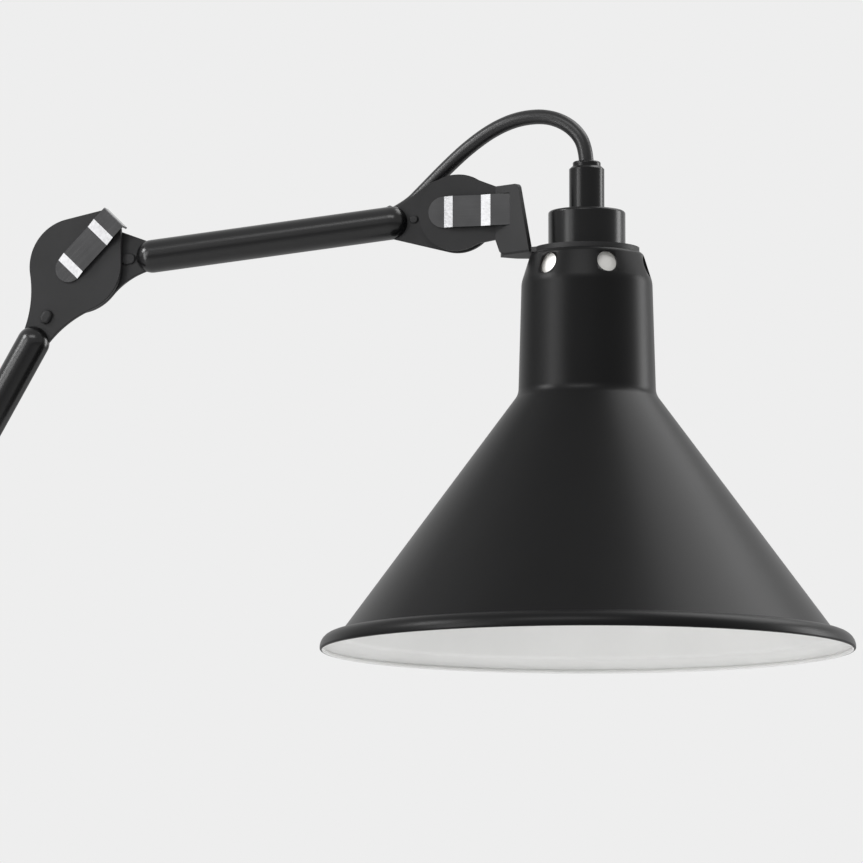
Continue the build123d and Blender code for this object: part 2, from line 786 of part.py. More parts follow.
def offset_points(points, distance):
    """Move a line of points sideways by a wall's thickness, with mitred corners."""
    moved = []
    for index, point in enumerate(points):
        before = points[max(index - 1, 0)]
        after = points[min(index + 1, len(points) - 1)]
        first = (Vector(*point) - Vector(*before)) if index else (Vector(*after) - Vector(*point))
        second = (Vector(*after) - Vector(*point)) if index < len(points) - 1 else first
        first, second = first.normalized(), second.normalized()
        normal = Vector(first.Y + second.Y, -first.X - second.X).normalized()
        stretch = distance / (normal.X * first.Y - normal.Y * first.X)
        moved.append((point[0] + normal.X * stretch, point[1] + normal.Y * stretch))
    return moved


shade_outer = [(nipple_radius + loose_clearance / 2, 0), (shade_shoulder_radius, 0),
               (shade_neck_top_radius, -shade_shoulder_drop), (shade_neck_radius, -shade_neck_drop),
               (shade_flange_radius, -shade_flange_drop), (shade_rim_radius, -shade_flange_drop),
               (shade_rim_radius, -shade_rim_drop)]
shade_inner = offset_points(shade_outer, shade_wall)
shade_inner[0] = (shade_outer[0][0], -shade_wall)
outer_roundings = [shade_edge_rounding, shade_shoulder_rounding, shade_waist_rounding, shade_flange_rounding,
                   shade_roll_rounding]
inner_roundings = [shade_edge_rounding - shade_wall, shade_shoulder_rounding - shade_wall,
                   shade_waist_rounding + shade_wall, shade_flange_rounding + shade_wall,
                   shade_roll_rounding - shade_wall]
shade_plane = Plane(origin=shade_top, x_dir=(1, 0, 0), z_dir=(0, -1, 0))
shade_axis = Axis(shade_top, (0, 0, 1))

with BuildPart() as shade:
    with BuildSketch(shade_plane):
        with BuildLine():
            outer_line = FilletPolyline(*shade_outer, radius=outer_roundings)
            inner_line = FilletPolyline(*shade_inner, radius=inner_roundings)
            Line(outer_line @ 0, inner_line @ 0)
            Line(outer_line @ 1, inner_line @ 1)
        make_face()
        with Locations((shade_rim_radius - shade_bead_radius, -shade_rim_drop)):
            Circle(shade_bead_radius)
    revolve(axis=shade_axis)
    vent_height = shade_top - Vector(0, 0, vent_drop)
    for index in range(vent_count):
        angle = vent_first_angle + index * 360 / vent_count
        outward = Vector(sin(radians(angle)), -cos(radians(angle)), 0)
        with BuildSketch(Plane(origin=vent_height, z_dir=outward)):
            Circle(vent_radius)
        extrude(amount=2 * shade_neck_radius, mode=Mode.SUBTRACT)
finish(shade, "shade")


# Lampholder hanging on the nipple inside the neck

holder_cap_foot = holder_top - Vector(0, 0, holder_cap_height)
holder_foot = holder_cap_foot - Vector(0, 0, holder_length)
insulator_top = holder_cap_foot
insulator_foot = insulator_top - Vector(0, 0, holder_insulator_height)
holder_cap_top_radius = shade_shoulder_radius - shade_wall - holder_cap_gap
holder_cap_foot_radius = shade_neck_top_radius - shade_wall - holder_cap_gap

with BuildPart() as lampholder_cap:
    with BuildSketch(Plane(origin=holder_top, x_dir=(1, 0, 0), z_dir=(0, -1, 0))):
        with BuildLine():
            Polyline((0, 0), (holder_cap_top_radius, 0), (holder_cap_foot_radius, -holder_cap_height),
                     (0, -holder_cap_height), close=True)
        make_face()
    revolve(axis=shade_axis)
    fillet(faces().sort_by(Axis.Z)[-1].edges(), holder_cap_rounding)
    with BuildSketch(Plane(origin=holder_cap_foot, z_dir=(0, 0, 1))):
        Circle(holder_radius - holder_wall)
    extrude(amount=holder_cap_height - holder_wall, mode=Mode.SUBTRACT)
    with BuildSketch(Plane(origin=holder_top, z_dir=(0, 0, -1))):
        Circle(nipple_radius)
    extrude(amount=holder_cap_height, mode=Mode.SUBTRACT)
finish(lampholder_cap, "lampholder_cap")

with BuildPart() as lampholder_lock_nut:
    with BuildSketch(Plane(origin=holder_top - Vector(0, 0, holder_wall), z_dir=(0, 0, -1))):
        RegularPolygon(lock_nut_width / 2, 6, major_radius=False)
        Circle(nipple_radius, mode=Mode.SUBTRACT)
    extrude(amount=lock_nut_height)
finish(lampholder_lock_nut, "lampholder_lock_nut")

with BuildPart() as lampholder_body:
    with BuildSketch(Plane(origin=holder_foot, z_dir=(0, 0, 1))):
        Circle(holder_radius)
    extrude(amount=holder_length)
    fillet(faces().sort_by(Axis.Z)[0].edges(), holder_lip_rounding)
    with BuildSketch(Plane(origin=holder_cap_foot, z_dir=(0, 0, -1))):
        Circle(holder_cap_foot_radius)
    extrude(amount=holder_flange_height)
    with BuildSketch(Plane(origin=holder_foot, z_dir=(0, 0, 1))):
        Circle(screw_shell_radius + screw_shell_wall)
    extrude(amount=holder_length, mode=Mode.SUBTRACT)
    with BuildSketch(Plane(origin=insulator_top, z_dir=(0, 0, -1))):
        Circle(holder_radius - holder_wall)
    extrude(amount=holder_insulator_height, mode=Mode.SUBTRACT)
finish(lampholder_body, "lampholder_body")

with BuildPart() as lampholder_insulator:
    with BuildSketch(Plane(origin=insulator_foot, z_dir=(0, 0, 1))):
        Circle(holder_radius - holder_wall)
    extrude(amount=holder_insulator_height)
    with BuildSketch(Plane(origin=insulator_foot, z_dir=(0, 0, 1))):
        with Locations((screw_shell_radius * 0.6, 0), (-screw_shell_radius * 0.6, 0)):
            Circle(lead_radius)
    extrude(amount=holder_insulator_height, mode=Mode.SUBTRACT)
    with BuildSketch(Plane(origin=insulator_foot, z_dir=(0, 0, 1))):
        Rectangle(contact_well_length, contact_well_width)
    extrude(amount=contact_well_depth, mode=Mode.SUBTRACT)
finish(lampholder_insulator, "lampholder_insulator")

with BuildPart() as screw_shell:
    with BuildSketch(Plane(origin=insulator_foot, z_dir=(0, 0, -1))):
        Circle(screw_shell_radius + screw_shell_wall)
        Circle(screw_shell_radius, mode=Mode.SUBTRACT)
    extrude(amount=screw_shell_length)
finish(screw_shell, "screw_shell")

contact_seat = insulator_foot + Vector(0, 0, contact_well_depth)
with BuildPart() as centre_contact:
    with BuildSketch(Plane(origin=contact_seat, x_dir=(1, 0, 0), z_dir=(0, -1, 0))):
        with BuildLine():
            Polyline((-contact_foot_reach, 0), (-contact_bend_reach, 0), (contact_dip_reach, -contact_dip),
                     (contact_tip_reach, -contact_tip_drop),
                     (contact_tip_reach, -contact_tip_drop - contact_thickness),
                     (contact_dip_reach, -contact_dip - contact_thickness),
                     (-contact_bend_reach, -contact_thickness), (-contact_foot_reach, -contact_thickness),
                     close=True)
        make_face()
    extrude(amount=contact_width / 2, both=True)
finish(centre_contact, "centre_contact")

head_seat = gland_top - Vector(0, 0, cord_seat_depth)
with BuildPart() as head_lead:
    with BuildSketch(Plane(origin=head_seat, z_dir=(0, 0, -1))):
        Circle(lead_radius)
    extrude(amount=head_seat.Z - insulator_top.Z)
finish(head_lead, "head_lead")


# Head cord: from the gland over the top and down behind the upper arm's plate into its tube

target, outward = upper_head_entry
head_cord_route = [head_seat] + [head_ring + Vector(*step) for step in (
    (0.0, 0.0, 41.5), (-5.5, 0.4, 50.2), (-15.6, 1.5, 55.3), (-27.9, 3.2, 55.3), (-39.3, 5.5, 51.7),
    (-50.6, 8.0, 44.9), (-60.6, 10.0, 36.8), (-70.0, 11.5, 28.2))]
head_cord_route += [target + outward * free_run, target + outward * cord_end]
head_cord = cord_tube(head_cord_route, cord_radius, "head_cord")
finish(head_cord, "head_cord")

# Elbow lead: behind the elbow from the upper tube to the lower one

start, start_out = upper_elbow_entry
end, end_out = lower_top_entry
elbow_cord_route = [start + start_out * cord_end, start + start_out * free_run]
elbow_cord_route += [Vector(elbow_pivot.X, 0, elbow_pivot.Z) + Vector(*step) for step in (
    (17.0, 10.8, 2.2), (6.0, 10.9, 0.4), (-3.0, 10.9, -6.0), (-10.5, 10.3, -16.5))]
elbow_cord_route += [end + end_out * free_run, end + end_out * cord_end]
elbow_cord = cord_tube(elbow_cord_route, cord_radius, "elbow_cord")
finish(elbow_cord, "elbow_cord")


# Wall end: spindle, cap and gland on the base bracket's ring

base_cap_foot = base_ring + Vector(0, 0, ring_half)
base_gland_foot = base_cap_foot + Vector(0, 0, base_cap_height)
base_gland_top = base_gland_foot + Vector(0, 0, gland_height)
flange_top = base_ring - Vector(0, 0, ring_half)
flange_foot = flange_top - Vector(0, 0, spindle_flange_height)
barrel_foot_z = -barrel_top
spindle_foot_z = (barrel_foot_z - bush_flange_height - axial_play - retaining_washer_thickness
                  - retaining_nut_height - 1.0)

with BuildPart() as base_cap:
    with BuildSketch(Plane(origin=base_cap_foot, z_dir=(0, 0, 1))):
        Circle(base_cap_radius)
    extrude(amount=base_cap_height)
    fillet(faces().sort_by(Axis.Z)[-1].edges(), 1.2)
    with BuildSketch(Plane(origin=base_cap_foot, z_dir=(0, 0, 1))):
        Circle(nipple_radius + loose_clearance / 2)
    extrude(amount=base_cap_height, mode=Mode.SUBTRACT)
finish(base_cap, "base_cap")

base_gland = gland_sleeve(base_gland_foot)
finish(base_gland, "base_gland")

with BuildPart() as swivel_spindle:
    with BuildSketch(Plane(origin=flange_foot, z_dir=(0, 0, 1))):
        Circle(spindle_flange_radius)
    extrude(amount=spindle_flange_height)
    with BuildSketch(Plane(origin=flange_top, z_dir=(0, 0, 1))):
        Circle(nipple_radius)
    extrude(amount=base_gland_foot.Z + nipple_grip - flange_top.Z)
    with BuildSketch(Plane(origin=flange_foot, z_dir=(0, 0, -1))):
        Circle(spindle_radius)
    extrude(amount=flange_foot.Z - spindle_foot_z)
    with BuildSketch(Plane(origin=(swivel_axis_x, 0, -window_height / 2), z_dir=(0, 0, 1))):
        Circle(spindle_bore_radius)
    extrude(amount=2 * barrel_height + gland_height, mode=Mode.SUBTRACT)
    window_reach = lead_radius + 2 * loose_clearance
    with BuildSketch(Plane(origin=(swivel_axis_x, 0, -window_height / 2), z_dir=(0, 0, 1))):
        with Locations((window_reach, 0)):
            Rectangle(4 * spindle_radius, 2 * spindle_radius, align=(Align.MAX, Align.CENTER))
    extrude(amount=window_height, mode=Mode.SUBTRACT)
finish(swivel_spindle, "swivel_spindle")

with BuildPart() as wall_post:
    with BuildSketch(Plane.XY.offset(barrel_foot_z)):
        with Locations((swivel_axis_x, 0)):
            Circle(barrel_radius)
    extrude(amount=barrel_height)
    chamfer(faces().filter_by(Axis.Z).edges(), 0.8)
    with BuildSketch(Plane.YZ.offset(canopy_depth)):
        Circle(post_collar_radius)
    extrude(amount=post_collar_length)
    chamfer(faces().sort_by(Axis.X)[0].edges().filter_by(GeomType.CIRCLE), 0.4)
    with BuildSketch(Plane.YZ.offset(canopy_depth - post_thread_length)):
        Circle(post_radius)
    extrude(amount=swivel_axis_x - canopy_depth + post_thread_length)
    with BuildSketch(Plane.XY.offset(barrel_foot_z)):
        with Locations((swivel_axis_x, 0)):
            Circle(bush_radius)
    extrude(amount=barrel_height, mode=Mode.SUBTRACT)
    with BuildSketch(Plane.YZ.offset(canopy_depth - post_thread_length)):
        Circle(post_bore_radius)
    extrude(amount=swivel_axis_x - canopy_depth + post_thread_length, mode=Mode.SUBTRACT)
finish(wall_post, "wall_post")

with BuildPart() as swivel_bushes:
    for side in (1, -1):
        bush_inner_end = (swivel_axis_x, 0, side * (barrel_top - bush_length))
        with BuildSketch(Plane(origin=bush_inner_end, z_dir=(0, 0, side))):
            Circle(bush_radius)
        extrude(amount=bush_length)
        with BuildSketch(Plane(origin=(swivel_axis_x, 0, side * barrel_top), z_dir=(0, 0, side))):
            Circle(bush_flange_radius)
        extrude(amount=bush_flange_height)
    with BuildSketch(Plane.XY.offset(-barrel_height)):
        with Locations((swivel_axis_x, 0)):
            Circle(spindle_radius + running_clearance)
    extrude(amount=2 * barrel_height, mode=Mode.SUBTRACT)
finish(swivel_bushes, "swivel_bushes")

washer_top_z = barrel_foot_z - bush_flange_height - axial_play
with BuildPart() as swivel_washer:
    with BuildSketch(Plane(origin=(swivel_axis_x, 0, washer_top_z), z_dir=(0, 0, -1))):
        Circle(bush_flange_radius)
        Circle(spindle_radius, mode=Mode.SUBTRACT)
    extrude(amount=retaining_washer_thickness)
finish(swivel_washer, "swivel_washer")

with BuildPart() as swivel_nut:
    nut_top = Vector(swivel_axis_x, 0, washer_top_z - retaining_washer_thickness)
    with BuildSketch(Plane(origin=nut_top, z_dir=(0, 0, -1))):
        RegularPolygon(retaining_nut_width / 2, 6, major_radius=False)
        Circle(spindle_radius, mode=Mode.SUBTRACT)
    extrude(amount=retaining_nut_height)
finish(swivel_nut, "swivel_nut")

base_seat = base_gland_top - Vector(0, 0, cord_seat_depth)
with BuildPart() as spindle_lead:
    with BuildSketch(Plane(origin=base_seat, z_dir=(0, 0, -1))):
        Circle(lead_radius)
    extrude(amount=base_seat.Z - lead_radius - loose_clearance)
finish(spindle_lead, "spindle_lead")

# Base cord: from the base gland over the front of the base joint into the lower tube

target, outward = lower_base_entry
base_cord_route = [base_seat] + [base_ring + Vector(*step) for step in (
    (0.0, 0.0, 33.0), (3.0, -0.5, 40.4), (8.6, -1.8, 46.2), (15.9, -3.6, 49.4), (24.9, -5.6, 49.7),
    (35.6, -8.4, 47.0))]
base_cord_route += [target + outward * free_run, target + outward * cord_end]
base_cord = cord_tube(base_cord_route, cord_radius, "base_cord")
finish(base_cord, "base_cord")

with BuildPart() as post_washer:
    with BuildSketch(Plane.YZ.offset(canopy_depth - canopy_wall)):
        Circle(post_washer_radius)
        Circle(post_radius, mode=Mode.SUBTRACT)
    extrude(amount=-post_washer_thickness)
finish(post_washer, "post_washer")

with BuildPart() as post_nut:
    with BuildSketch(Plane.YZ.offset(canopy_depth - canopy_wall - post_washer_thickness)):
        RegularPolygon(post_nut_width / 2, 6, major_radius=False)
        Circle(post_radius, mode=Mode.SUBTRACT)
    extrude(amount=-post_nut_height)
finish(post_nut, "post_nut")


# Canopy, strap and what they hold

switch_hole_height = switch_height - 2 * switch_bezel
switch_hole_width = switch_width - 2 * switch_bezel

with BuildPart() as canopy:
    with BuildSketch(Plane.YZ):
        Circle(canopy_radius)
    extrude(amount=canopy_depth)
    fillet(faces().sort_by(Axis.X)[-1].edges(), canopy_edge_radius)
    with BuildSketch(Plane.YZ):
        Circle(canopy_radius - canopy_wall)
    extrude(amount=canopy_depth - canopy_edge_radius, mode=Mode.SUBTRACT)
    with BuildSketch(Plane.YZ):
        Circle(canopy_radius - canopy_edge_radius)
    extrude(amount=canopy_depth - canopy_wall, mode=Mode.SUBTRACT)
    with BuildSketch(Plane.YZ):
        Circle(post_radius)
    extrude(amount=canopy_depth, mode=Mode.SUBTRACT)
    with BuildSketch(Plane.YZ):
        with Locations((0, -switch_drop)):
            Rectangle(switch_hole_width, switch_hole_height)
    extrude(amount=canopy_depth, mode=Mode.SUBTRACT)
    with BuildSketch(Plane(origin=(canopy_screw_x, 0, 0), z_dir=(0, 1, 0))):
        Circle(canopy_screw_radius)
    extrude(amount=2 * canopy_radius, both=True, mode=Mode.SUBTRACT)
finish(canopy, "canopy")

strap_half = sqrt((canopy_radius - canopy_wall - strap_gap)**2 - (strap_width / 2)**2)
with BuildPart() as wall_strap:
    with BuildSketch(Plane.YZ):
        Rectangle(2 * strap_half, strap_width)
        with Locations((-wall_screw_spacing / 2, 0), (wall_screw_spacing / 2, 0)):
            SlotOverall(wall_slot_length, 2 * wall_slot_radius, mode=Mode.SUBTRACT)
        with Locations((cable_hole_offset, 0)):
            Circle(cable_hole_radius, mode=Mode.SUBTRACT)
    extrude(amount=strap_thickness)
    with BuildSketch(Plane.YZ.offset(strap_thickness)):
        for side in (1, -1):
            with Locations((side * (strap_half - strap_thickness / 2), 0)):
                Rectangle(strap_thickness, strap_width)
    extrude(amount=strap_tab_length - strap_thickness)
    with BuildSketch(Plane(origin=(canopy_screw_x, 0, 0), z_dir=(0, 1, 0))):
        Circle(canopy_screw_radius)
    extrude(amount=2 * canopy_radius, both=True, mode=Mode.SUBTRACT)
finish(wall_strap, "wall_strap")

with BuildPart() as canopy_screws:
    for side in (1, -1):
        with BuildSketch(Plane(origin=(canopy_screw_x, side * (canopy_radius + 0.05), 0), z_dir=(0, side, 0))):
            Circle(canopy_screw_head_radius)
        extrude(amount=canopy_screw_head_height)
        with BuildSketch(Plane(origin=(canopy_screw_x, side * (canopy_radius + 0.05), 0), z_dir=(0, -side, 0))):
            Circle(canopy_screw_radius)
        extrude(amount=canopy_radius - strap_half + strap_thickness + 1)
        with BuildSketch(Plane(origin=(canopy_screw_x, side * (canopy_radius + canopy_screw_head_height), 0),
                               z_dir=(0, side, 0))):
            Rectangle(0.9, 2 * canopy_screw_head_radius)
        extrude(amount=-0.9, mode=Mode.SUBTRACT)
finish(canopy_screws, "canopy_screws")

terminal_front = strap_thickness + terminal_depth
terminal_y = -terminal_offset + terminal_width / 2
with BuildPart() as terminal_block:
    with BuildSketch(Plane.YZ.offset(strap_thickness)):
        with Locations((terminal_y, 0)):
            Rectangle(terminal_width, terminal_length)
    extrude(amount=terminal_depth)
    chamfer(edges().filter_by(Axis.X), 1.0)
    with BuildSketch(Plane.YZ.offset(terminal_front)):
        with Locations((terminal_y, 0)):
            with GridLocations(0.001, terminal_pitch, 1, 3):
                Circle(terminal_screw_radius)
    extrude(amount=-terminal_depth * 0.6, mode=Mode.SUBTRACT)
finish(terminal_block, "terminal_block")

with BuildPart() as terminal_screws:
    with BuildSketch(Plane.YZ.offset(terminal_front - 1.5)):
        with Locations((terminal_y, 0)):
            with GridLocations(0.001, terminal_pitch, 1, 3):
                Circle(terminal_screw_radius)
    extrude(amount=-terminal_depth * 0.6 + 1.5)
finish(terminal_screws, "terminal_screws")

# Feed lead: from the terminal block round into the post's bore and on to the swivel axis
feed_start = Vector(strap_thickness + terminal_depth * 0.4, terminal_y + terminal_width / 2, 0)
feed_route = [feed_start, Vector(feed_start.X, 0, 0), Vector(swivel_axis_x, 0, 0)]
feed_lead = cord_tube(feed_route, lead_radius, "feed_lead")
finish(feed_lead, "feed_lead")

# Rocker switch in the canopy's face
switch_centre = Vector(canopy_depth, 0, -switch_drop)
with BuildPart() as switch_housing:
    with BuildSketch(Plane(origin=switch_centre, z_dir=(1, 0, 0), x_dir=(0, 1, 0))):
        Rectangle(switch_width, switch_height)
    extrude(amount=switch_bezel_height)
    chamfer(faces().sort_by(Axis.X)[-1].edges(), 0.5)
    with BuildSketch(Plane(origin=switch_centre, z_dir=(1, 0, 0), x_dir=(0, 1, 0))):
        Rectangle(switch_hole_width, switch_hole_height)
    extrude(amount=-switch_housing_depth)
    with BuildSketch(Plane(origin=switch_centre + Vector(switch_bezel_height, 0, 0), z_dir=(1, 0, 0),
                           x_dir=(0, 1, 0))):
        Rectangle(switch_hole_width - switch_bezel, switch_hole_height - switch_bezel)
    extrude(amount=-switch_housing_depth * 0.6, mode=Mode.SUBTRACT)
finish(switch_housing, "switch_housing")

rocker_width = switch_hole_width - switch_bezel - 2 * rocker_gap
rocker_height = switch_hole_height - switch_bezel - 2 * rocker_gap - 0.6
rocker_pivot = switch_centre - Vector(1.0, 0, 0)
with BuildPart() as switch_rocker:
    with BuildSketch(Plane(origin=rocker_pivot, x_dir=(0, 0, 1), z_dir=(0, 1, 0))):
        with BuildLine():
            half_height = rocker_height / 2
            front = 3.4
            arc = ThreePointArc((-half_height, front), (0, front - 1.4), (half_height, front))
            Polyline(arc @ 1, (half_height * 0.86, -1.2), (half_height * 0.3, -3.2), (-half_height * 0.3, -3.2),
                     (-half_height * 0.86, -1.2), arc @ 0)
        make_face()
    extrude(amount=rocker_width / 2, both=True)
    with BuildSketch(Plane(origin=rocker_pivot, z_dir=(0, 1, 0))):
        Circle(1.0)
    extrude(amount=rocker_width / 2 + rocker_gap - 0.05, both=True)
finish(switch_rocker, "switch_rocker")
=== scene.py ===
import json
from math import acos, cos, pi, radians, sin

import bmesh
import bpy
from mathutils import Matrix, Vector


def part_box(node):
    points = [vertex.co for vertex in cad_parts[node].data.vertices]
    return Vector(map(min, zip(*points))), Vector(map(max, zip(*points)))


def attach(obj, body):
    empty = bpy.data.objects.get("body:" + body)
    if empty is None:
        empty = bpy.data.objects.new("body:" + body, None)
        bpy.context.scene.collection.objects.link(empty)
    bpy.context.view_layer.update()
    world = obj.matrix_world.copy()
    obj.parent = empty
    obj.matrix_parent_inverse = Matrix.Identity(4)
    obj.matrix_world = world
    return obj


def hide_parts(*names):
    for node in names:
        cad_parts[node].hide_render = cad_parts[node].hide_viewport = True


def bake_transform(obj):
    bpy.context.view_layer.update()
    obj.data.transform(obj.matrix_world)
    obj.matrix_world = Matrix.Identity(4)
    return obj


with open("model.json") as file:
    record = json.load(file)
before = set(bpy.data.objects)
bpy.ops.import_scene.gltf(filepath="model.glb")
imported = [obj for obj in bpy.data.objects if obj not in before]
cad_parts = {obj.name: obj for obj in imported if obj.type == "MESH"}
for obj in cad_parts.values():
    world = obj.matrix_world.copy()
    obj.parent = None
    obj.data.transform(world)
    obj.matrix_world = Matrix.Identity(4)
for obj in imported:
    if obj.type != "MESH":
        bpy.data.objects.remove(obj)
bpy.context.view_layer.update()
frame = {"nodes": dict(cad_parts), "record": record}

# Swing arm wall lamp. Metres, in the frame of the CAD model: the wall is x = 0, z is up, and
# the arms move in planes parallel to XZ. Sizes with the same meaning as in the part's source
# have the same values here.
mm = 0.001

# Arms
arm_length = 160.0 * mm
lower_arm_angle = radians(60.0)
upper_arm_angle = radians(5.8)
front_y = -3.0 * mm
lower_plate_reach = 29.1 * mm
base_plate_reach = 26.0 * mm
elbow_plate_reach = 25.0 * mm
head_plate_reach = 20.9 * mm
base_pivot = Vector((82.0, 0, 36.3)) * mm
bracket_rise = 17.2 * mm
head_bracket_reach = 53.7 * mm
base_bracket_reach = 40.0 * mm
elbow_clip_angle = radians(45.7)

# Shade
shade_wall = 1.1 * mm
ring_half = 1.0 * mm

# Cords
cord_diameter = 6.0 * mm
entry_angle = radians(40.0)
entry_setback = 15.5 * mm
head_entry_lean = radians(37.0)
base_entry_lean = radians(40.0)
cord_end = 8.5 * mm
free_run = 18.0 * mm


def along(angle):
    """Unit vector at an angle above +X in the plane of the arms."""
    return Vector((cos(angle), 0, sin(angle)))


elbow_pivot = base_pivot + along(lower_arm_angle) * arm_length
head_pivot = elbow_pivot + along(upper_arm_angle) * arm_length
head_ring = head_pivot + Vector((head_bracket_reach, front_y, -bracket_rise))
shade_top = head_ring - Vector((0, 0, ring_half))
base_ring = Vector((base_pivot.x - base_bracket_reach, 0, base_pivot.z - bracket_rise))


# Camera at the picture's viewing angle, a long lens

image_size = 863
focal_px = 8500.0
camera_azimuth = radians(14.0)
camera_pitch = radians(-6.66)
camera_distance = 3.4
ring_px = (586.9, 250.8)


def place_camera():
    """Camera that sees the centre of the bracket's ring where the picture has it."""
    data = bpy.data.cameras.new("camera")
    data.sensor_width = 36.0
    data.lens = focal_px * data.sensor_width / image_size
    data.clip_start, data.clip_end = 0.05, 60.0
    camera = bpy.data.objects.new("camera", data)
    bpy.context.collection.objects.link(camera)
    right = Vector((cos(camera_azimuth), sin(camera_azimuth), 0))
    back = Vector((sin(camera_azimuth) * cos(camera_pitch), -cos(camera_azimuth) * cos(camera_pitch),
                   sin(camera_pitch)))
    up = back.cross(right)
    across = (ring_px[0] - image_size / 2) * camera_distance / focal_px
    height = (image_size / 2 - ring_px[1]) * camera_distance / focal_px
    camera.location = head_ring - right * across - up * height + back * camera_distance
    camera.rotation_mode = "QUATERNION"
    camera.rotation_quaternion = (-back).to_track_quat("-Z", "Y")
    bpy.context.scene.camera = camera


place_camera()


# Cords at the three joints

def tube_entry(pivot, angle, y, distance, side, lean=0.0):
    """Point on a tube's axis and the outward direction of the cord entry in its side."""
    target = Vector((pivot.x, y, pivot.z)) + along(angle) * distance
    upward = along(angle + pi / 2) if along(angle + pi / 2).z > 0 else along(angle - pi / 2)
    sideways = Vector((0, side * cos(lean), 0)) + upward * sin(lean)
    return target, along(angle) * -cos(entry_angle) + sideways * sin(entry_angle)


lower_top_entry = tube_entry(elbow_pivot, lower_arm_angle + pi, front_y,
                             lower_plate_reach + entry_setback, 1)
lower_base_entry = tube_entry(base_pivot, lower_arm_angle, front_y,
                              base_plate_reach + entry_setback, -1, base_entry_lean)
upper_elbow_entry = tube_entry(elbow_pivot, upper_arm_angle, 0,
                               elbow_plate_reach + entry_setback, 1)
upper_head_entry = tube_entry(head_pivot, upper_arm_angle + pi, 0,
                              head_plate_reach + entry_setback, 1, head_entry_lean)


def into_entry(entry):
    """The last two points of a cord that goes into a tube's side."""
    target, outward = entry
    return [target + outward * free_run, target + outward * cord_end]


def from_mm(origin, steps):
    """Points given in millimetres from an origin."""
    return [origin + Vector(step) * mm for step in steps]


head_cord_route = from_mm(head_ring, (
    (0, 0, 31.6), (0.0, 0.0, 41.5), (-5.5, 0.4, 50.2), (-15.6, 1.5, 55.3), (-27.9, 3.2, 55.3),
    (-39.3, 5.5, 51.7), (-50.6, 8.0, 44.9), (-60.6, 10.0, 36.8), (-70.0, 11.5, 28.2)))
head_cord_route += into_entry(upper_head_entry)
elbow_cord_route = into_entry(upper_elbow_entry)[::-1]
elbow_cord_route += from_mm(Vector((elbow_pivot.x, 0, elbow_pivot.z)), (
    (17.0, 10.8, 2.2), (6.0, 10.9, 0.4), (-3.0, 10.9, -6.0), (-10.5, 10.3, -16.5)))
elbow_cord_route += into_entry(lower_top_entry)
base_cord_route = from_mm(base_ring, (
    (0, 0, 20.7), (0.0, 0.0, 33.0), (3.0, -0.5, 40.4), (8.6, -1.8, 46.2), (15.9, -3.6, 49.4),
    (24.9, -5.6, 49.7), (35.6, -8.4, 47.0)))
base_cord_route += into_entry(lower_base_entry)


def cord_curve(name, route, bevel):
    """Smooth line on a route's points, with or without the cord's thickness."""
    data = bpy.data.curves.new(name, "CURVE")
    data.dimensions = "3D"
    data.resolution_u = 16
    data.bevel_depth = bevel
    data.bevel_resolution = 7
    data.use_fill_caps = True
    spline = data.splines.new("NURBS")
    spline.points.add(len(route) - 1)
    for point, place in zip(spline.points, route):
        point.co = (*place, 1.0)
    spline.order_u = 3
    spline.use_endpoint_u = True
    curve = bpy.data.objects.new(name, data)
    bpy.context.collection.objects.link(curve)
    return curve


def plain_mesh(maker):
    """Mesh of an object with its modifiers and curves worked out; the object itself goes."""
    depsgraph = bpy.context.evaluated_depsgraph_get()
    mesh = bpy.data.meshes.new_from_object(maker.evaluated_get(depsgraph), depsgraph=depsgraph)
    data = maker.data
    bpy.data.objects.remove(maker)
    if isinstance(data, bpy.types.Curve):
        bpy.data.curves.remove(data)
    return mesh


def joint_cord(name, route):
    """Cord across one joint, a smooth tube along its route's points."""
    path = [vertex.co.copy() for vertex in plain_mesh(cord_curve(f"{name}_line", route, 0)).vertices]
    mesh = plain_mesh(cord_curve(f"{name}_tube", route, cord_diameter / 2))
    tidy = bmesh.new()
    tidy.from_mesh(mesh)
    bmesh.ops.remove_doubles(tidy, verts=tidy.verts, dist=1e-6)
    bmesh.ops.recalc_face_normals(tidy, faces=tidy.faces)
    tidy.to_mesh(mesh)
    tidy.free()
    mesh.polygons.foreach_set("use_smooth", [True] * len(mesh.polygons))
    cord = bpy.data.objects.new(f"{name}_sheath", mesh)
    bpy.context.collection.objects.link(cord)
    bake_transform(cord)
    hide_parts(name)
    return cord


head_cord = joint_cord("head_cord", head_cord_route)
elbow_cord = joint_cord("elbow_cord", elbow_cord_route)
base_cord = joint_cord("base_cord", base_cord_route)


# Shader effects that several finishes use

def node_group(name, inputs, outputs):
    """Empty shader group with named inputs and outputs; returns it with its two end nodes."""
    group = bpy.data.node_groups.new(name, "ShaderNodeTree")
    for label, default in inputs:
        kind = "NodeSocketColor" if isinstance(default, tuple) else "NodeSocketFloat"
        socket = group.interface.new_socket(label, in_out="INPUT", socket_type=kind)
        socket.default_value = default
    for label, kind in outputs:
        group.interface.new_socket(label, in_out="OUTPUT", socket_type=kind)
    return group, group.nodes.new("NodeGroupInput"), group.nodes.new("NodeGroupOutput")


def add_node(tree, kind, links=(), **values):
    """Shader node with its attributes set, then its inputs set or linked."""
    node = tree.nodes.new(kind)
    for key, value in values.items():
        setattr(node, key, value)
    for key, value in dict(links).items():
        if isinstance(value, bpy.types.NodeSocket):
            tree.links.new(value, node.inputs[key])
        else:
            node.inputs[key].default_value = value
    return node


